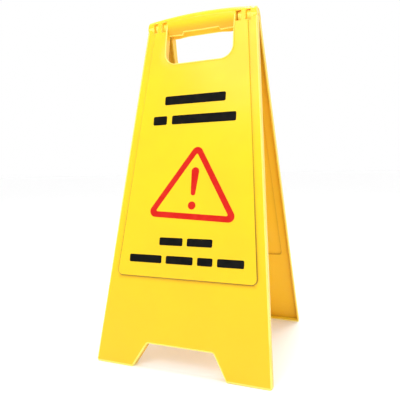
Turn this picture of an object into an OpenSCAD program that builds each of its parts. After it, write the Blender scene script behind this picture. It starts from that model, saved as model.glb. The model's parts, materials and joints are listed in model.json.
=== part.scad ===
// Folding wet floor sign. Two flanged plastic panels hang from two hinge pins under a barrel-shaped
// handle, and stand as an A-frame. The origin is on the floor, midway between the feet. +Z is up,
// and the front panel faces -Y. Each panel is drawn in its own flat frame, with x across the panel,
// y into it from its face, and z up its slope, and is then leaned into place.

/* [Panels] */
// Length of a panel up its slope, from the floor to the crown of the handle
panel_height = 621; // [610:1:640]
// Width of a panel across its feet
foot_width = 300; // [290:1:320]
// Width of a panel level with its crown
top_width = 201; // [198:1:206]
// Wall thickness of the panels
wall = 2.5; // [2:0.1:3]
// Depth from a panel's face to the plane where the folded panels meet
half_depth = 12.3; // [12:0.1:13]
// Lean of each panel from upright when the sign stands open
lean = 13; // [11:0.5:14]
// Radius of the outer corners
corner_radius = 4; // [2:0.5:6]

/* [Feet] */
// Width of the cut-out between the feet at the floor
cutout_foot_width = 160.6; // [140:0.2:170]
// Width of the cut-out at its top
cutout_top_width = 114.4; // [100:0.2:120]
// Height of the cut-out
cutout_height = 39.2; // [30:0.2:45]
// Height of the solid sole of each foot
sole = 5.5; // [5:0.5:8]

/* [Raised field] */
// Height of the raised field above the face
field_step = 2.5; // [2:0.1:3]
// Width of the plain border beside the field
field_margin = 15.4; // [14:0.2:16]
// Height of the field's lower edge up the panel
field_bottom = 146; // [120:1:160]
// Radius of the field's lower corners
field_radius = 9; // [5:1:15]

/* [Handle] */
// Width of the hand opening
opening_width = 126; // [120:1:128]
// Height of the hand opening's lower edge up the panel
opening_bottom = 522; // [515:1:528]
// Radius of the hand opening's lower corners
opening_radius = 22; // [15:1:28]
// Radius of the barrel along the top edge
barrel_radius = 13.8; // [13.4:0.1:14.2]
// Radius of the arch of the top edge
arch_radius = 718; // [700:2:800]
// Radius of the grip's front below the barrel
grip_radius = 40; // [36:1:44]
// Height of the grip, from the crown to its lower lips
grip_height = 40; // [36:1:42]
// Width of the relief in the middle of each lip
relief_width = 66; // [40:1:80]
// Height of the relief in the front lip
front_relief = 4; // [1:0.2:7]
// Length of the slope at each end of the front relief
front_relief_slope = 3; // [1:1:20]
// Height of the relief in the rear lip
rear_relief = 1.6; // [1:0.2:7]
// Length of the slope at each end of the rear relief
rear_relief_slope = 15; // [1:1:20]
// Width of the shallow scoop around the hand opening
scoop_width = 16; // [12:1:18]
// Depth of the scoop at the edge of the hand opening
scoop_depth = 1.5; // [1:0.1:1.8]

/* [Hinge] */
// Distance from the crown down to the hinge axis
hinge_drop = 20; // [19:0.5:21]
// Diameter of the hinge pins
pin_diameter = 6; // [5:0.5:6.5]
// Outer radius of the hinge lugs
lug_radius = 9; // [8:0.1:9.2]
// Radial clearance of the rear panel's lugs on the pins
running_clearance = 0.06; // [0.03:0.01:0.1]
// Width of the windows in the ears
window_width = 9.5; // [8:0.5:10]
// Height of the windows in the ears
window_height = 20; // [16:1:22]

/* [Print] */
// Thickness of the printed films
film = 0.2; // [0.15:0.05:0.3]
// Width of the warning triangle
triangle_width = 150; // [120:1:160]
// Height of the warning triangle
triangle_height = 123; // [100:1:130]
// Width of the triangle's outline
triangle_line = 10; // [7:0.5:12]
// Height of the triangle's lower edge up the panel
triangle_bottom = 244; // [230:1:260]
// Sideways offset of the triangle from the centre line
triangle_offset = 6; // [0:0.5:8]
// How far the triangle and its mark are turned clockwise, in degrees
triangle_turn = 2.8; // [0:0.1:4]

/* [Hidden] */
$fn = 32;

FRONT = 0;
REAR = 180;
YELLOW = [1, 0.9, 0.13];
BLACK = [0.08, 0.08, 0.08];
RED = [0.91, 0.2, 0.16];

// Depth and length of the cutters that pass right through a panel
THROUGH = 40;
// Gap between each panel and the plane where the two meet, folded or open
meeting_gap = 0.25;
// Clearance around the other panel's lugs
lug_clearance = 0.5;
press_fit = 0.02;
// How far the barrel stands out from the raised field
barrel_proud = 0.3;
pin_radius = pin_diameter / 2;
cutout_corner_radius = 5;
// Width of the rim left standing around the hand opening
rim = wall + 0.5;

taper = (foot_width - top_width) / 2 / panel_height;
hinge_v = panel_height - hinge_drop;
hinge_z = hinge_v * cos(lean) - half_depth * sin(lean);
inner_plane = half_depth - meeting_gap;
barrel_w = barrel_radius - field_step - barrel_proud;
barrel_v = panel_height - barrel_radius;
arch_v = barrel_v - arch_radius;
shoulder_v = panel_height - 7;
lip_v = panel_height - grip_height;

// Half the panel's width at a height up its slope
function side_x(v) = foot_width / 2 - taper * v;

// The windows stand side by side in each ear, the panels' lugs between and beside them. Each lug
// is a range that runs from its inner to its outer side, as distances from the middle
window_x = opening_width / 2 + 7.5;
window_pitch = 16.5;
rear_lug = 6;
front_lug = 6.5;
outer_lug_x = window_x + window_pitch + 6.5;
REAR_LUGS = [for (x = [window_x, window_x + window_pitch]) [x - rear_lug / 2, x + rear_lug / 2]];
FRONT_LUGS = [
    [window_x + (window_pitch - front_lug) / 2, window_x + (window_pitch + front_lug) / 2],
    [outer_lug_x, side_x(hinge_v) + 2]
];
FRONT_WINDOWS = [window_x, window_x + window_pitch];
REAR_WINDOWS = [window_x + window_pitch / 2];
pin_start = window_x - 3.5;
pin_end = side_x(hinge_v) - 1.2;

// Leans a panel drawn in its flat frame into its place in the open sign
module stand(facing) {
    rotate([0, 0, facing])
        translate([0, 0, hinge_z])
            rotate([-lean, 0, 0])
                translate([0, -half_depth, -hinge_v])
                    children();
}

// A flat outline, drawn as x and height, made solid from depth w0 to depth w1
module slab(w0, w1) {
    translate([0, w1, 0])
        rotate([90, 0, 0])
            linear_extrude(w1 - w0)
                children();
}

// A section, drawn as depth and height, run across the whole width
module across() {
    rotate([90, 0, 90])
        linear_extrude(foot_width * 2, center = true)
            children();
}

// A section of the top edge, drawn as height above the arch line and depth, run along the arch
module along_arch() {
    half_angle = asin(side_x(hinge_v) / arch_radius) + 1;
    translate([0, 0, arch_v])
        rotate([90, 0, 0])
            rotate([0, 0, 90 - half_angle])
                rotate_extrude(angle = 2 * half_angle, $fn = 360)
                    translate([arch_radius, 0])
                        children();
}

module under_arch() {
    translate([0, THROUGH, arch_v])
        rotate([90, 0, 0])
            cylinder(r = arch_radius, h = 2 * THROUGH, $fn = 360);
}

// Both ends of the hinge
module both_ears() {
    for (side = [0, 1]) {
        mirror([side, 0, 0])
            children();
    }
}

// A cylinder on the hinge axis between two distances from the middle
module on_hinge(radius, x0, x1) {
    translate([x0, half_depth, hinge_v])
        rotate([0, 90, 0])
            cylinder(r = radius, h = x1 - x0);
}

/* Flat outlines of a panel */

module panel_outline() {
    offset(r = corner_radius)
        offset(delta = -corner_radius)
            offset(r = -cutout_corner_radius)
                offset(delta = cutout_corner_radius)
                    polygon([
                        [cutout_foot_width / 2, 0],
                        [foot_width / 2, 0],
                        [side_x(shoulder_v), shoulder_v],
                        [0.4 * side_x(shoulder_v), panel_height + 1.5],
                        [-0.4 * side_x(shoulder_v), panel_height + 1.5],
                        [-side_x(shoulder_v), shoulder_v],
                        [-foot_width / 2, 0],
                        [-cutout_foot_width / 2, 0],
                        [-cutout_top_width / 2, cutout_height],
                        [cutout_top_width / 2, cutout_height]
                    ]);
}

module field_outline() {
    top = panel_height + THROUGH;
    low_x = side_x(field_bottom) - field_margin;
    high_x = side_x(top) - field_margin;
    offset(r = field_radius)
        offset(delta = -field_radius)
            polygon([[-low_x, field_bottom], [low_x, field_bottom], [high_x, top], [-high_x, top]]);
}

module opening_outline() {
    offset(r = opening_radius)
        offset(delta = -opening_radius)
            translate([-opening_width / 2, opening_bottom])
                square([opening_width, panel_height + THROUGH - opening_bottom]);
}

module pocket_outline() {
    difference() {
        offset(delta = -wall)
            panel_outline();
        offset(r = rim)
            opening_outline();
        translate([-foot_width / 2, 0])
            square([foot_width, sole]);
    }
}

module field_pocket_outline() {
    difference() {
        offset(delta = -wall)
            field_outline();
        offset(r = scoop_width + 2)
            opening_outline();
    }
}

/* Sections of the top edge. The barrel is round, and the grip carries on below it */

module barrel_section(inset) {
    translate([0, -barrel_w])
        circle(r = barrel_radius - inset);
}

module grip_section(inset) {
    intersection() {
        translate([0, field_step - grip_radius])
            circle(r = grip_radius - inset, $fn = 180);
        translate([-grip_height, -half_depth])
            square([grip_height, half_depth + field_step]);
    }
    barrel_section(inset);
}

/* Bodies of a panel */

// The grip's extent, less the relief in the middle of its lip
module grip_slab(relief, slope) {
    half = relief_width / 2;
    slab(-THROUGH, THROUGH)
        difference() {
            translate([-opening_width / 2 - 1, lip_v])
                square([opening_width + 2, grip_height + THROUGH]);
            polygon([
                [-half - slope, lip_v],
                [-half, lip_v + relief],
                [half, lip_v + relief],
                [half + slope, lip_v],
                [half + slope, lip_v - 1],
                [-half - slope, lip_v - 1]
            ]);
        }
}

// Wider than the panel, which is cut to its outline once, at the end
module outer_body(relief, slope) {
    difference() {
        intersection() {
            union() {
                slab(0, THROUGH)
                    translate([-foot_width, -THROUGH])
                        square([2 * foot_width, panel_height + 2 * THROUGH]);
                slab(-field_step, 1)
                    field_outline();
            }
            under_arch();
        }
        slab(-THROUGH, 2 * THROUGH)
            opening_outline();
    }
    along_arch()
        barrel_section(0);
    intersection() {
        grip_slab(relief, slope);
        along_arch()
            grip_section(0);
    }
}

module hollow() {
    intersection() {
        union() {
            slab(wall, 2 * THROUGH)
                pocket_outline();
            slab(0, wall + 1)
                field_pocket_outline();
        }
        under_arch();
    }
    intersection() {
        slab(-THROUGH, 2 * THROUGH)
            pocket_outline();
        along_arch()
            barrel_section(wall);
    }
    intersection() {
        slab(-THROUGH, 2 * THROUGH)
            opening_outline();
        along_arch()
            grip_section(wall);
    }
}

// The space a panel may fill: above the floor, and on its own side of the meeting planes
module own_side() {
    reach = 2 * THROUGH;
    across()
        polygon([
            [-reach, -reach * tan(lean)],
            [inner_plane, inner_plane * tan(lean)],
            [inner_plane, hinge_v],
            [inner_plane - reach * sin(lean), hinge_v + reach * cos(lean)],
            [-reach, hinge_v + reach]
        ]);
}

// Blocks that join the lugs to the wall
module lug_blocks(lugs) {
    both_ears()
        for (lug = lugs) {
            translate([lug[0], -field_step, hinge_v - lug_radius])
                cube([lug[1] - lug[0], half_depth + field_step, 2 * lug_radius]);
        }
}

module lug_rings(lugs) {
    both_ears()
        for (lug = lugs) {
            on_hinge(lug_radius, lug[0], lug[1]);
        }
}

// The scoop's section, as distance from the opening's edge and depth below the field. Its slope
// carries on past the edge, by reach
function scoop_section(reach) = [
    [scoop_width, 0],
    [-reach, scoop_depth * (1 + reach / scoop_width)],
    [-reach, -scoop_width],
    [scoop_width, -scoop_width]
];

// A prism whose upper end is shifted along y, so that both of its ends stay level
module leaning_prism(section, shift, height) {
    n = len(section);
    polyhedron(
        points = [for (z = [0, 1]) for (p = section) [p[0], p[1] + shift * z, height * z]],
        faces = concat(
            [[for (i = [0 : n - 1]) i]],
            [[for (i = [n - 1 : -1 : 0]) n + i]],
            [for (i = [0 : n - 1]) [i, n + i, n + (i + 1) % n, (i + 1) % n]]
        )
    );
}

// The shallow scoop around the hand opening, which fades out up its sides
module scoop() {
    corner_x = opening_width / 2 - opening_radius;
    corner_v = opening_bottom + opening_radius;
    fade_height = hinge_v - window_height - corner_v;
    side_height = fade_height + window_height;
    reach = 1;
    translate([-corner_x, -field_step, opening_bottom])
        rotate([90, 0, 90])
            linear_extrude(2 * corner_x)
                rotate(-90)
                    polygon(scoop_section(reach));
    both_ears() {
        translate([opening_width / 2, -field_step, corner_v])
            leaning_prism(scoop_section(reach), -scoop_depth * side_height / fade_height, side_height);
        translate([corner_x, -field_step, corner_v])
            rotate([90, 0, 0])
                rotate([0, 0, -90])
                    rotate_extrude(angle = 90)
                        translate([opening_radius, 0])
                            mirror([0, 1])
                                polygon(scoop_section(reach));
    }
}

module windows(centres) {
    both_ears()
        for (x = centres) {
            translate([x - window_width / 2, -THROUGH, hinge_v - 0.75 * window_height])
                cube([window_width, THROUGH + wall + 1, window_height]);
        }
}

module panel(own_lugs, other_lugs, bore_radius, window_centres, relief, slope) {
    difference() {
        intersection() {
            slab(-THROUGH, THROUGH)
                panel_outline();
            union() {
                intersection() {
                    own_side();
                    difference() {
                        outer_body(relief, slope);
                        difference() {
                            hollow();
                            lug_blocks(own_lugs);
                        }
                    }
                }
                lug_rings(own_lugs);
            }
        }
        both_ears() {
            on_hinge(bore_radius, pin_start, foot_width / 2);
            for (lug = other_lugs) {
                on_hinge(lug_radius + lug_clearance, lug[0] - lug_clearance, lug[1] + lug_clearance);
            }
        }
        windows(window_centres);
        scoop();
    }
}

module front_panel() {
    color(YELLOW)
        stand(FRONT)
            panel(
                FRONT_LUGS, REAR_LUGS, pin_radius - press_fit, FRONT_WINDOWS,
                front_relief, front_relief_slope
            );
}

module rear_panel() {
    color(YELLOW)
        stand(REAR)
            panel(
                REAR_LUGS, FRONT_LUGS, pin_radius + running_clearance, REAR_WINDOWS,
                rear_relief, rear_relief_slope
            );
}

/* Hinge pins, each with a small chamfer at both ends */

module hinge_pin() {
    chamfer = 0.5;
    length = pin_end - pin_start;
    translate([pin_start, 0, hinge_z])
        rotate([0, 90, 0]) {
            cylinder(r1 = pin_radius - chamfer, r2 = pin_radius, h = chamfer);
            translate([0, 0, chamfer])
                cylinder(r = pin_radius, h = length - 2 * chamfer);
            translate([0, 0, length - chamfer])
                cylinder(r1 = pin_radius, r2 = pin_radius - chamfer, h = chamfer);
        }
}

module left_hinge_pin() {
    color(YELLOW)
        mirror([1, 0, 0])
            hinge_pin();
}

module right_hinge_pin() {
    color(YELLOW)
        hinge_pin();
}

/* Printed films on the raised field. Plain bars stand in for the lines of a legend */

module print_film(facing, ink) {
    color(ink)
        stand(facing)
            slab(-field_step - film, -field_step)
                children();
}

function total(list, count) = count == 0 ? 0 : list[count - 1] + total(list, count - 1);

// A line of bars, centred on the panel, with its lower edge at height v
module bar_line(v, height, widths) {
    gap = 0.6 * height;
    radius = 0.18 * height;
    line_width = total(widths, len(widths)) + gap * (len(widths) - 1);
    for (i = [0 : len(widths) - 1]) {
        translate([total(widths, i) + gap * i - line_width / 2, v])
            offset(r = radius)
                translate([radius, radius])
                    square([widths[i] - 2 * radius, height - 2 * radius]);
    }
}

module upper_bars() {
    bar_line(445, 16, [112]);
    bar_line(409, 16, [26, 116]);
}

module lower_bars() {
    bar_line(200, 13, [42, 44]);
    bar_line(170, 13, [60, 48, 26, 44]);
}

// Turns the triangle or its mark about the middle of the triangle's lower edge
module turned() {
    translate([triangle_offset, triangle_bottom])
        rotate(-triangle_turn)
            translate([-triangle_offset, -triangle_bottom])
                children();
}

module triangle_core() {
    half = triangle_width / 2 - triangle_line;
    height = triangle_height - 2 * triangle_line;
    translate([triangle_offset, triangle_bottom + triangle_line])
        polygon([[-half, 0], [half, 0], [0, height]]);
}

module triangle_outline() {
    inner_radius = 2;
    difference() {
        offset(r = triangle_line)
            triangle_core();
        offset(r = inner_radius)
            offset(delta = -inner_radius)
                triangle_core();
    }
}

module exclamation_mark() {
    dot_radius = 0.055 * triangle_height;
    dot_v = triangle_bottom + triangle_line + 2 * dot_radius;
    translate([triangle_offset, dot_v]) {
        circle(r = dot_radius);
        hull() {
            translate([0, 0.17 * triangle_height])
                circle(r = 0.6 * dot_radius);
            translate([0, 0.47 * triangle_height])
                circle(r = dot_radius);
        }
    }
}

module front_upper_legend() {
    print_film(FRONT, BLACK)
        upper_bars();
}

module front_lower_legend() {
    print_film(FRONT, BLACK)
        lower_bars();
}

module front_warning_triangle() {
    print_film(FRONT, RED)
        turned()
            triangle_outline();
}

module front_warning_mark() {
    print_film(FRONT, RED)
        turned()
            exclamation_mark();
}

module rear_upper_legend() {
    print_film(REAR, BLACK)
        upper_bars();
}

module rear_lower_legend() {
    print_film(REAR, BLACK)
        lower_bars();
}

module rear_warning_triangle() {
    print_film(REAR, RED)
        turned()
            triangle_outline();
}

module rear_warning_mark() {
    print_film(REAR, RED)
        turned()
            exclamation_mark();
}

front_panel();
rear_panel();
left_hinge_pin();
right_hinge_pin();
front_upper_legend();
front_lower_legend();
front_warning_triangle();
front_warning_mark();
rear_upper_legend();
rear_lower_legend();
rear_warning_triangle();
rear_warning_mark();
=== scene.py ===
import json
import math

import bmesh
import bpy
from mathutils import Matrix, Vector
from mathutils.bvhtree import BVHTree


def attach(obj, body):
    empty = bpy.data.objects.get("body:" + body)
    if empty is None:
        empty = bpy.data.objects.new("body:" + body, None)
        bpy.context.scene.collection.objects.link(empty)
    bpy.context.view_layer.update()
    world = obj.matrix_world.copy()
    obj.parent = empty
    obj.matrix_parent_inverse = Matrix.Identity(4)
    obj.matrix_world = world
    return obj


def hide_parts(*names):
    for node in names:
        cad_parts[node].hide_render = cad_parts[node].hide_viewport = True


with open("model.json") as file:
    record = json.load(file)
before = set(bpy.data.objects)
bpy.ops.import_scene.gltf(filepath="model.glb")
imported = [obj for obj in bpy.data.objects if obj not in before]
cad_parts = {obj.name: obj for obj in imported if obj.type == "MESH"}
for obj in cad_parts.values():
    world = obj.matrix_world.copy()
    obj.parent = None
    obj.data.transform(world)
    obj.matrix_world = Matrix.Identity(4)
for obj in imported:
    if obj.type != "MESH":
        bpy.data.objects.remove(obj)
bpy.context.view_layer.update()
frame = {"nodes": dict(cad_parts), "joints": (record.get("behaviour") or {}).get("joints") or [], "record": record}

# The folding floor sign. Its two panels are copies of the CAD panels with every long edge rounded, each
# with a bead around its hand opening. The pins and the printed films keep their CAD shape. Lengths are
# in metres.
#
# Places on a panel are given as x, depth and v: across the panel, behind the border of its face, and up
# its slope from its feet.

NODES = frame["nodes"]
HINGE = Vector(frame["joints"][0]["pos_m"])
LEAN = math.radians(13)
# The hinge axis, as depth and v
HALF_DEPTH = 0.0123
HINGE_V = 0.601


# ---------------------------------------------------------------- small helpers for materials

class Graph:
    """A material's node tree, with short calls for the nodes that the plastics and inks share."""

    def __init__(self, name):
        self.material = bpy.data.materials.new(name)
        self.material.use_nodes = True
        self.tree = self.material.node_tree
        self.shader = self.tree.nodes["Principled BSDF"]
        coordinates = self.add("ShaderNodeTexCoord")
        self.place = coordinates.outputs["Object"]
        self.facing = coordinates.outputs["Normal"]

    def add(self, kind, **settings):
        node = self.tree.nodes.new(kind)
        for key, value in settings.items():
            setattr(node, key, value)
        return node

    def put(self, value, socket):
        """Links an output to a socket, or sets a plain value on it."""
        if isinstance(value, bpy.types.NodeSocket):
            self.tree.links.new(value, socket)
        else:
            socket.default_value = value

    def math(self, operation, a, b=0.0, clamp=False):
        node = self.add("ShaderNodeMath", operation=operation, use_clamp=clamp)
        self.put(a, node.inputs[0])
        self.put(b, node.inputs[1])
        return node.outputs[0]

    def noise(self, size, detail=3.0, roughness=0.5, stretch=(1, 1, 1)):
        """Noise with features of a given size in metres, stretched along each axis."""
        mapping = self.add("ShaderNodeMapping")
        self.put(self.place, mapping.inputs["Vector"])
        mapping.inputs["Scale"].default_value = [1 / (size * s) for s in stretch]
        node = self.add("ShaderNodeTexNoise")
        self.put(mapping.outputs[0], node.inputs["Vector"])
        node.inputs["Scale"].default_value = 1.0
        node.inputs["Detail"].default_value = detail
        node.inputs["Roughness"].default_value = roughness
        return node.outputs["Fac"]

    def ramp(self, value, low, high, to_low=0.0, to_high=1.0):
        """Goes smoothly from to_low to to_high as a value goes from low to high."""
        node = self.add("ShaderNodeMapRange", interpolation_type="SMOOTHSTEP")
        self.put(value, node.inputs["Value"])
        for key, number in (("From Min", low), ("From Max", high), ("To Min", to_low), ("To Max", to_high)):
            node.inputs[key].default_value = number
        return node.outputs["Result"]

    def fade_out(self, value, low, high):
        return self.ramp(value, low, high, 1.0, 0.0)

    def mix(self, amount, first, second):
        node = self.add("ShaderNodeMix", data_type="RGBA")
        self.put(amount, node.inputs["Factor"])
        for value, socket in ((first, node.inputs[6]), (second, node.inputs[7])):
            self.put(value if isinstance(value, bpy.types.NodeSocket) else (*value, 1.0), socket)
        return node.outputs[2]

    def tint(self, tone, color, where, strength=1.0):
        """Mixes a colour into a tone where a mask says, up to a strength."""
        if strength != 1.0:
            where = self.math("MULTIPLY", where, strength)
        return self.mix(where, tone, color)

    def along(self, axis, vector):
        """One component of a vector output, such as the height of a place in the open sign."""
        split = self.add("ShaderNodeSeparateXYZ")
        self.put(vector, split.inputs[0])
        return split.outputs[axis]

    def attribute(self, name):
        """A number that a mesh carries on its faces, or 0 where it carries none."""
        return self.add("ShaderNodeAttribute", attribute_name=name).outputs["Fac"]

    def up_panel(self):
        """The height v up either panel's slope."""
        outward = self.math("ABSOLUTE", self.along("Y", self.place))
        outward = self.math("MULTIPLY", outward, -math.sin(LEAN))
        upward = self.math("SUBTRACT", self.along("Z", self.place), HINGE.z)
        upward = self.math("MULTIPLY", upward, math.cos(LEAN))
        return self.math("ADD", self.math("ADD", outward, upward), HINGE_V)

    def convex_edge(self, radius):
        """How far the surface turns within a radius of here: 0 on a flat face, up to 1 on an edge."""
        rounded = self.add("ShaderNodeBevel", samples=6)
        rounded.inputs["Radius"].default_value = radius
        flat = self.add("ShaderNodeNewGeometry")
        dot = self.add("ShaderNodeVectorMath", operation="DOT_PRODUCT")
        self.put(rounded.outputs["Normal"], dot.inputs[0])
        self.put(flat.outputs["Normal"], dot.inputs[1])
        return self.fade_out(dot.outputs["Value"], 0.70, 0.995)

    def shelter(self, distance, closed, clear, own=True):
        """How closed in the surface is within a distance: 1 in a crease or hollow, 0 in the open."""
        node = self.add("ShaderNodeAmbientOcclusion", samples=6, only_local=own)
        node.inputs["Distance"].default_value = distance
        return self.fade_out(node.outputs["AO"], closed, clear)

    def bump(self, strengths):
        """Adds bumps, each a (height, depth in metres) pair, one after another."""
        normal = None
        for value, depth in strengths:
            node = self.add("ShaderNodeBump")
            node.inputs["Distance"].default_value = depth
            node.inputs["Strength"].default_value = 1.0
            self.put(value, node.inputs["Height"])
            if normal is not None:
                self.put(normal, node.inputs["Normal"])
            normal = node.outputs["Normal"]
        self.put(normal, self.shader.inputs["Normal"])

    def finish(self, color, roughness, specular=0.5):
        self.put(color, self.shader.inputs["Base Color"])
        self.put(roughness, self.shader.inputs["Roughness"])
        self.shader.inputs["Specular IOR Level"].default_value = specular
        return self.material


# ---------------------------------------------------------------- materials

# Yellows of the plastic, from its face to its painted shades, scuffs, painted edge highlights and painted light at
# the hinge and grip
YELLOW = (0.96, 0.68, 0.006)
DEEP_YELLOW = (0.95, 0.60, 0.008)
SHADE_AMBER = (0.95, 0.60, 0.050)
PALE_WEAR_AND_HIGHLIGHT = (1.0, 0.86, 0.20)
LOW_SHADE_YELLOW = (0.93, 0.55, 0.020)
GRIP_SHADE_AMBER = (0.79, 0.40, 0.024)
CREASE_SHADE_YELLOW = (0.50, 0.24, 0.008)
STEP_SHADE_BROWN = (0.22, 0.12, 0.006)
INNER_SHADE_BROWN = (0.45, 0.20, 0.012)
PAINTED_GLOW_YELLOW = (1.0, 0.80, 0.13)
PAINTED_GLOW_LIGHT = (0.30, 0.15, 0.012)
NO_LIGHT = (0, 0, 0)

# Bands where a painted shade or highlight sets in or fades out, as heights above the floor. The ledge's bottom and
# top are heights up the panel's slope, and the two sides are distances from the middle
LOW_BAND = (0.0, 0.35)
GRIP_SIDE = (0.058, 0.064)
GRIP_BOTTOM = (0.545, 0.555)
GRIP_TOP = (0.571, 0.586)
LEDGE_BOTTOM = (0.1395, 0.1455)
LEDGE_TOP = (0.1460, 0.1461)
LEDGE_SIDE = (0.117, 0.123)
CREASE_BOTTOM = (0.008, 0.020)
CREASE_BAND = (0.15, 0.50)
STEP_BAND = (0.14, 0.45)
SOLE_BAND = (0.0022, 0.0034)


def plastic_tone(g, mottle, worn_and_rim_light, scuffs):
    """The colour of the panels: mottled, with painted shade where little light comes, pale where scuffed, painted
    highlights on edges and painted light at the grip and hinge.
    """
    height = g.along("Z", g.place)
    sideways = g.math("ABSOLUTE", g.along("X", g.place))
    up_panel = g.up_panel()
    inside = g.attribute("inside")

    tone = g.tint(YELLOW, DEEP_YELLOW, g.ramp(mottle, 0.35, 0.70), strength=0.5)
    # Painted shade: faces turned to the other panel, and faces turned downward, are painted amber
    tone = g.tint(tone, SHADE_AMBER, inside, strength=0.85)
    tone = g.tint(tone, SHADE_AMBER, g.fade_out(g.along("Z", g.facing), -0.7, 0.1), strength=0.8)
    # Painted shade: more orange towards the floor
    tone = g.tint(tone, LOW_SHADE_YELLOW, g.fade_out(height, *LOW_BAND), strength=0.75)

    # Painted shade on the lower part of the grip, where it curves under
    grip = g.math("MULTIPLY", g.fade_out(sideways, *GRIP_SIDE), g.ramp(height, *GRIP_BOTTOM))
    grip = g.math("MULTIPLY", grip, g.fade_out(height, *GRIP_TOP))
    tone = g.tint(tone, GRIP_SHADE_AMBER, grip, strength=0.75)
    tone = g.tint(tone, PALE_WEAR_AND_HIGHLIGHT, scuffs, strength=0.12)

    # Painted shadow below the raised field's lower edge, on the outer faces
    ledge_shadow = g.math("MULTIPLY", g.ramp(up_panel, *LEDGE_BOTTOM), g.fade_out(up_panel, *LEDGE_TOP))
    ledge_shadow = g.math("MULTIPLY", ledge_shadow, g.fade_out(sideways, *LEDGE_SIDE))
    ledge_shadow = g.math("MULTIPLY", ledge_shadow, g.math("SUBTRACT", 1.0, inside))
    tone = g.tint(tone, CREASE_SHADE_YELLOW, ledge_shadow, strength=0.35)

    # Painted shade where the panels close in towards the hinge
    tone = g.tint(tone, INNER_SHADE_BROWN, g.shelter(0.10, closed=0.10, clear=0.55, own=False), strength=0.6)
    # Painted shade in creases, kept off the floor and weaker higher up
    crease = g.math("MULTIPLY", g.shelter(0.008, closed=0.50, clear=0.98), g.ramp(height, *CREASE_BOTTOM))
    crease = g.math("MULTIPLY", crease, g.ramp(height, *CREASE_BAND, to_low=0.7, to_high=0.15))
    tone = g.tint(tone, CREASE_SHADE_YELLOW, crease)

    # Painted light: the grip's hollow and the hinge's gaps and lugs are painted pale
    tone = g.tint(tone, PAINTED_GLOW_YELLOW, g.attribute("glow"))
    # Painted highlight on rounded outward edges
    tone = g.tint(tone, PALE_WEAR_AND_HIGHLIGHT, g.convex_edge(0.0012), strength=0.5)

    # Painted shade: edges marked below 0 are painted as a dark line, stronger low on the panel
    rim = g.attribute("rim")
    step_shade = g.ramp(height, *STEP_BAND, to_low=-1.0, to_high=-0.2)
    tone = g.tint(tone, STEP_SHADE_BROWN, g.math("MULTIPLY", rim, step_shade, clamp=True))
    # Painted highlights: edges marked above 0, and a thin band just above the floor, are painted pale, varied by
    # the scuff mask
    sole_highlight = g.ramp(height, *SOLE_BAND, to_low=0.9, to_high=0.0)
    rim_highlight = g.math("MAXIMUM", rim, sole_highlight, clamp=True)
    rim_highlight = g.math("MULTIPLY", rim_highlight, g.ramp(worn_and_rim_light, 0.0, 1.0, to_low=0.9, to_high=0.6))
    return g.tint(tone, PALE_WEAR_AND_HIGHLIGHT, rim_highlight)


def yellow_plastic(name, roughness):
    """Moulded polypropylene: a satin skin with faint flow mottling, fine grain and scuffs, with painted shade,
    painted edge highlights and a painted glow.
    """
    g = Graph(name)
    mottle = g.noise(0.09, detail=2.0)
    worn_and_rim_light = g.ramp(g.noise(0.03, detail=3.0), 0.50, 0.75)
    scuffs = g.ramp(g.noise(0.004, detail=4.0, roughness=0.65, stretch=(6, 1, 0.7)), 0.64, 0.78)
    scuffs = g.math("MULTIPLY", scuffs, worn_and_rim_light)
    grain = g.noise(0.0007, detail=2.0)
    sink = g.noise(0.035, detail=1.0)
    rough = g.math(
        "ADD", g.ramp(mottle, 0.3, 0.7, to_low=roughness - 0.03, to_high=roughness + 0.04),
        g.math("MULTIPLY", scuffs, 0.15))
    g.bump([(sink, 0.0006), (grain, 0.00003), (scuffs, 0.00002)])
    # Painted light: the same faces give off an orange emission, though no lamp is there
    g.put(g.mix(g.attribute("glow"), NO_LIGHT, PAINTED_GLOW_LIGHT), g.shader.inputs["Emission Color"])
    g.shader.inputs["Emission Strength"].default_value = 1.0
    g.shader.inputs["Subsurface Weight"].default_value = 0.2
    g.shader.inputs["Subsurface Radius"].default_value = (0.003, 0.0015, 0.0003)
    g.shader.inputs["Subsurface Scale"].default_value = 1.0
    g.shader.inputs["Coat Weight"].default_value = 0.25
    g.shader.inputs["Coat Roughness"].default_value = 0.18
    return g.finish(plastic_tone(g, mottle, worn_and_rim_light, scuffs), rough, specular=0.18)


def printed_ink(name, ink, light_ink, roughness):
    """A screen-printed film: solid ink with a faint weave from the screen and a few thin spots."""
    g = Graph(name)
    cover = g.ramp(g.noise(0.012, detail=3.0), 0.3, 0.75)
    thin = g.ramp(g.noise(0.0012, detail=3.0, roughness=0.7), 0.68, 0.80)
    tone = g.mix(cover, ink, light_ink)
    tone = g.tint(tone, DEEP_YELLOW, thin, strength=0.35)
    rough = g.math(
        "ADD", g.ramp(cover, 0.0, 1.0, to_low=roughness, to_high=roughness + 0.08),
        g.math("MULTIPLY", thin, 0.1))
    g.bump([(g.noise(0.0006, detail=1.0), 0.00002)])
    return g.finish(tone, rough, specular=0.04)


def pale_floor(name):
    g = Graph(name)
    tone = g.mix(g.noise(0.4, detail=2.0), (0.98, 0.98, 0.98), (1.0, 1.0, 1.0))
    return g.finish(tone, 0.7, specular=0.2)


MATERIALS = {
    "yellow_panel": yellow_plastic("moulded_yellow", 0.34),
    "yellow_pin": yellow_plastic("pin_yellow", 0.28),
    "black_print": printed_ink("black_ink", (0.005, 0.005, 0.005), (0.011, 0.010, 0.009), 0.5),
    "red_print": printed_ink("red_ink", (0.64, 0.016, 0.010), (0.70, 0.026, 0.016), 0.5),
}


# ---------------------------------------------------------------- pieces

def slot_of(node):
    for part in frame["record"]["subparts"]:
        if part["node"] == node:
            return part["material_slot"]


def body_of(node):
    for body, members in frame["record"]["behaviour"]["bodies"].items():
        if node in members:
            return body


def dress_node(node):
    """Keeps a CAD node and gives it its slot's material."""
    for slot in NODES[node].material_slots:
        slot.material = MATERIALS[slot_of(node)]


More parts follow.
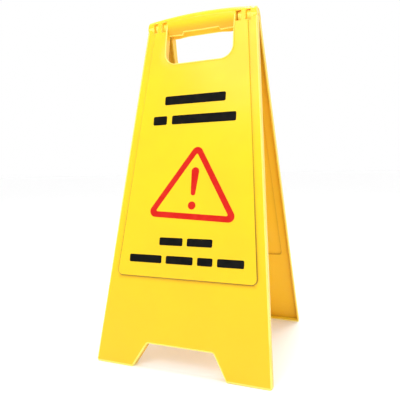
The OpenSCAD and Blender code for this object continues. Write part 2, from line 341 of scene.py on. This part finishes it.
# Sizes of the CAD panels that the added edges and beads follow
FIELD_STEP = 0.0025
FLANGE_DEPTH = 0.0115
EAR_V = 0.575
SOLE_V = 0.0002
LIP_V = 0.581
RELIEF = 0.0040
SCOOP_DEPTH = 0.0015
LUG_RADIUS = 0.009
# The handle's round bar: its radius, its middle's depth, and the arch that it follows
BARREL_RADIUS = 0.0138
BARREL_DEPTH = 0.0110
ARCH_RADIUS = 0.718
ARCH_V = 0.6072 - ARCH_RADIUS
# The hand opening: half its width, the radius of its corners, and its lower edge's v
OPENING_HALF = 0.063
OPENING_CORNER = 0.022
OPENING_LOW = 0.522
# Where the hinge's gaps and lugs are, as distances from the middle and as v
EAR_GAPS_X = (0.066, 0.0985)
EAR_GAPS_V = (0.584, 0.612)

# How near a place has to be to a surface to be on it, and how near to a curved one
TOUCH = 0.0001
NEAR = 0.0003

# How strongly a rounded edge is painted pale as a highlight, up to 1. Below 0 it is painted as a dark shade line
BEAD_HIGHLIGHT = 0.9
SHADE_LINE = -0.9

# How strongly the grip's hollow and the hinge's gaps and lugs are painted pale and given an orange emission
# (painted light)
HOLLOW_GLOW = 0.78
GAP_GLOW = 0.95
LUG_GLOW = 1.0


def panel_place(point, facing):
    """A point as x, depth behind the panel's face, and height up the panel's slope."""
    x, y, z = Vector(point) - HINGE
    x, y = facing * x, facing * y
    depth = y * math.cos(LEAN) - z * math.sin(LEAN) + HALF_DEPTH
    return Vector((x, depth, y * math.sin(LEAN) + z * math.cos(LEAN) + HINGE_V))


def panel_facing(normal, facing):
    """A direction in the same terms as panel_place."""
    x, y, z = normal
    x, y = facing * x, facing * y
    return Vector((x, y * math.cos(LEAN) - z * math.sin(LEAN), y * math.sin(LEAN) + z * math.cos(LEAN)))


def from_panel(x, depth, v, facing):
    """The point that panel_place takes to these values."""
    across, up = depth - HALF_DEPTH, v - HINGE_V
    y = across * math.cos(LEAN) + up * math.sin(LEAN)
    z = up * math.cos(LEAN) - across * math.sin(LEAN)
    return HINGE + Vector((facing * x, facing * y, z))


def convex_edges(mesh, facing, wanted):
    """The sharp outward edges whose middle is where wanted(x, depth, v) says."""
    least_turn = math.radians(35)
    found = []
    for edge in mesh.edges:
        if len(edge.link_faces) != 2 or not edge.is_convex:
            continue
        if edge.calc_face_angle() < least_turn:
            continue
        middle = (edge.verts[0].co + edge.verts[1].co) / 2
        if wanted(*panel_place(middle, facing)):
            found.append(edge)
    return found


def put_in_order(mesh):
    """Sorts the faces by their vertices. A bevel leaves them in another order on every run."""
    mesh.verts.index_update()
    ranked = sorted(mesh.faces, key=lambda face: sorted(vertex.index for vertex in face.verts))
    for number, face in enumerate(ranked):
        face.index = number
    mesh.faces.sort()


def round_edges(mesh, edges, radius, segments, rim_paint):
    """Rounds edges, and marks the new faces with how strongly the material paints them as a highlight, or as a
    shade line below 0.

    A corner can throw a rounded vertex outside the panel, and it is brought back to the surface."""
    too_far = 1e-6
    rim = mesh.faces.layers.float["rim"]
    skin = BVHTree.FromBMesh(mesh)
    made = bmesh.ops.bevel(
        mesh, geom=edges, offset=radius, offset_type="OFFSET", segments=segments, profile=0.5,
        affect="EDGES", clamp_overlap=False, loop_slide=True, material=-1)
    for face in made["faces"]:
        face[rim] = rim_paint
    for vertex in set(made["verts"]):
        place, outward, _, distance = skin.find_nearest(vertex.co)
        if distance > too_far and (vertex.co - place).dot(outward) > 0:
            vertex.co = place
    put_in_order(mesh)


def on_outline(x, depth, v):
    return abs(depth) < TOUCH and SOLE_V < v < EAR_V


def on_sole(x, depth, v):
    return abs(depth) < TOUCH and v < SOLE_V


def on_field(x, depth, v):
    return abs(depth + FIELD_STEP) < TOUCH and v < EAR_V


def on_opening(x, depth, v):
    """Along the scooped edge of the hand opening."""
    in_scoop = 0.0002 - FIELD_STEP < depth < -NEAR
    return in_scoop and v < EAR_V - 0.004 and abs(x) < OPENING_HALF + 0.007


def on_flange(x, depth, v):
    return depth > FLANGE_DEPTH and v < EAR_V


def on_lip(x, depth, v):
    """Along the grip's lower lip, its relief included."""
    return abs(x) < OPENING_HALF + 0.0002 and LIP_V - 0.0005 < v < LIP_V + RELIEF + 0.0005


# Which edges are rounded, by what radius, in how many steps, and how strongly painted as a highlight (above 0) or
# a shade line (below 0)
ROUNDINGS = [
    (on_outline, 0.0024, 4, 1.0),
    (on_sole, 0.0006, 2, 1.0),
    (on_field, 0.0012, 3, SHADE_LINE),
    (on_opening, 0.0018, 3, 0.7),
    (on_flange, 0.0005, 2, 0.6),
    (on_lip, 0.0009, 2, 0.75),
]


def painted_glow_of(place, outward):
    """How much painted light a face gets: most in the thin lips and lugs of the hinge and grip."""
    x, depth, v = place
    above_arch = math.hypot(x, v - ARCH_V) - ARCH_RADIUS
    on_barrel = math.hypot(depth - BARREL_DEPTH, above_arch) > BARREL_RADIUS - 0.0002
    if on_barrel and v > HINGE_V:
        return 0.0
    if abs(x) < OPENING_HALF - 0.0005 and v > LIP_V - 0.0005:
        return HOLLOW_GLOW if outward.y > -0.3 else 0.0
    across_gaps = EAR_GAPS_X[0] < abs(x) < EAR_GAPS_X[1]
    up_gaps = EAR_GAPS_V[0] < v < EAR_GAPS_V[1]
    if not across_gaps or not up_gaps or depth < 0.0002 - FIELD_STEP:
        return 0.0
    on_lug = abs(math.hypot(depth - HALF_DEPTH, v - HINGE_V) - LUG_RADIUS) < NEAR
    return LUG_GLOW if on_lug else GAP_GLOW


def is_inside(skin, middle, normal, outward):
    """Whether a face turns to the other panel, or to another part of its own panel."""
    if outward.y > 0.1:
        return True
    start, reach = middle + normal * 1e-5, 0.4
    return outward.y > -0.5 and skin.ray_cast(start, normal, reach)[0] is not None


def soft_panel(node, facing):
    """A copy of a CAD panel with its moulded edges rounded."""
    piece = bpy.data.objects.new("soft_" + node, NODES[node].data.copy())
    bpy.context.collection.objects.link(piece)
    mesh = bmesh.new()
    mesh.from_mesh(piece.data)
    bmesh.ops.remove_doubles(mesh, verts=mesh.verts, dist=1e-6)
    bmesh.ops.dissolve_limit(mesh, angle_limit=math.radians(0.5), verts=mesh.verts, edges=mesh.edges)
    mesh.faces.layers.float.new("rim")
    for wanted, radius, segments, rim_paint in ROUNDINGS:
        round_edges(mesh, convex_edges(mesh, facing, wanted), radius, segments, rim_paint)
    glow = mesh.faces.layers.float.new("glow")
    inside = mesh.faces.layers.float.new("inside")
    skin = BVHTree.FromBMesh(mesh)
    for face in mesh.faces:
        middle = face.calc_center_median()
        outward = panel_facing(face.normal, facing)
        face[glow] = painted_glow_of(panel_place(middle, facing), outward)
        face[inside] = float(is_inside(skin, middle, face.normal, outward))
    mesh.to_mesh(piece.data)
    mesh.free()
    for face in piece.data.polygons:
        face.use_smooth = True
    piece.data.set_sharp_from_angle(angle=math.radians(32))
    even = piece.modifiers.new("even_shading", "WEIGHTED_NORMAL")
    even.keep_sharp = True
    piece.data.materials.clear()
    piece.data.materials.append(MATERIALS[slot_of(node)])
    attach(piece, body_of(node))
    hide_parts(node)
    return piece


def bead_route():
    """Down one side of the hand opening, along its lower edge and up the other side, as x and v."""
    steps = 12
    corner_x, corner_v = OPENING_HALF - OPENING_CORNER, OPENING_LOW + OPENING_CORNER
    right = [(OPENING_HALF, HINGE_V + (corner_v - HINGE_V) * i / steps) for i in range(steps)]
    for i in range(steps + 1):
        angle = math.pi / 2 * i / steps
        right.append((
            corner_x + OPENING_CORNER * math.cos(angle),
            corner_v - OPENING_CORNER * math.sin(angle)))
    return [(-x, v) for x, v in right] + right[::-1]


def opening_bead(name, facing):
    """The rounded bead around the hand opening, below the grip. It thins out at its upper ends."""
    radius, sides, sunk, set_back = 0.0015, 12, 0.0005, 0.0010
    taper, thinnest = 0.006, 0.2
    scoop_height = LIP_V - OPENING_LOW - OPENING_CORNER
    route = bead_route()
    mesh = bmesh.new()
    rings = []
    for number, (x, v) in enumerate(route):
        before, after = route[max(number - 1, 0)], route[min(number + 1, len(route) - 1)]
        travel = Vector((after[0] - before[0], after[1] - before[1])).normalized()
        away = Vector((travel.y, -travel.x))
        scoop = min(max((LIP_V - v) / scoop_height, 0.0), 1.0)
        depth = -FIELD_STEP + SCOOP_DEPTH * scoop + sunk
        size = radius * min(max((HINGE_V - v) / taper, thinnest), 1.0)
        ring = []
        for side in range(sides):
            angle = math.tau * side / sides
            reach = set_back + size * math.cos(angle)
            ring.append(mesh.verts.new(from_panel(
                x + away.x * reach, depth + size * math.sin(angle), v + away.y * reach, facing)))
        rings.append(ring)
    rim = mesh.faces.layers.float.new("rim")
    for first, second in zip(rings, rings[1:]):
        for side in range(sides):
            after = (side + 1) % sides
            face = mesh.faces.new((first[side], first[after], second[after], second[side]))
            face.smooth = True
            # Bead faces turned away from the opening are painted as a shade line, the rest as a highlight
            turned_away = math.cos(math.tau * (side + 0.5) / sides) > 0.6
            face[rim] = SHADE_LINE if turned_away else BEAD_HIGHLIGHT
    mesh.faces.new(rings[0])
    mesh.faces.new(rings[-1])
    bmesh.ops.recalc_face_normals(mesh, faces=mesh.faces)
    data = bpy.data.meshes.new(name)
    mesh.to_mesh(data)
    mesh.free()
    bead = bpy.data.objects.new(name, data)
    bpy.context.collection.objects.link(bead)
    data.materials.append(MATERIALS["yellow_panel"])
    return bead


for node, facing in (("front_panel", 1), ("rear_panel", -1)):
    soft_panel(node, facing)
    bead = opening_bead(body_of(node) + "_opening_bead", facing)
    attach(bead, body_of(node))
for node in NODES:
    if not node.endswith("_panel"):
        dress_node(node)


# ---------------------------------------------------------------- floor, light and camera

def make_floor():
    """A round floor, far wider than any view."""
    radius, sides = 40.0, 96
    mesh = bmesh.new()
    mesh.faces.new([mesh.verts.new((radius * math.cos(math.tau * side / sides),
                                    radius * math.sin(math.tau * side / sides), 0.0))
                    for side in range(sides)])
    data = bpy.data.meshes.new("studio_floor")
    mesh.to_mesh(data)
    mesh.free()
    floor = bpy.data.objects.new("studio_floor", data)
    bpy.context.collection.objects.link(floor)
    data.materials.append(pale_floor("studio_floor"))


def soft_light(name, place, target, size, power):
    light = bpy.data.lights.new(name, "AREA")
    light.shape = "DISK"
    light.size = size
    light.energy = power
    lamp = bpy.data.objects.new(name, light)
    lamp.location = place
    lamp.rotation_euler = (Vector(target) - Vector(place)).to_track_quat("-Z", "Y").to_euler()
    bpy.context.collection.objects.link(lamp)


def make_lights():
    middle = (0, 0, 0.3)
    soft_light("front_box", (-0.35, -1.45, 1.9), middle, 0.9, 9)
    soft_light("top_box", (0.1, 0.35, 2.1), middle, 0.7, 18)
    world = bpy.data.worlds.new("studio")
    world.use_nodes = True
    sky = world.node_tree.nodes["Background"]
    sky.inputs["Color"].default_value = (1.0, 1.0, 1.0, 1.0)
    sky.inputs["Strength"].default_value = 1.0
    bpy.context.scene.world = world


def make_camera():
    camera = bpy.data.cameras.new("camera")
    camera.sensor_width = 36.0
    camera.lens = 36.5
    camera.clip_start = 0.01
    eye = bpy.data.objects.new("camera", camera)
    eye.location = (0.2615, -0.7054, 0.3188)
    tilt, roll, heading = -4.19, 1.17, 21.15
    eye.rotation_euler = (math.radians(90 + tilt), math.radians(roll), math.radians(heading))
    bpy.context.collection.objects.link(eye)
    bpy.context.scene.camera = eye


make_floor()
make_lights()
make_camera()
bpy.context.scene.view_settings.view_transform = "Standard"
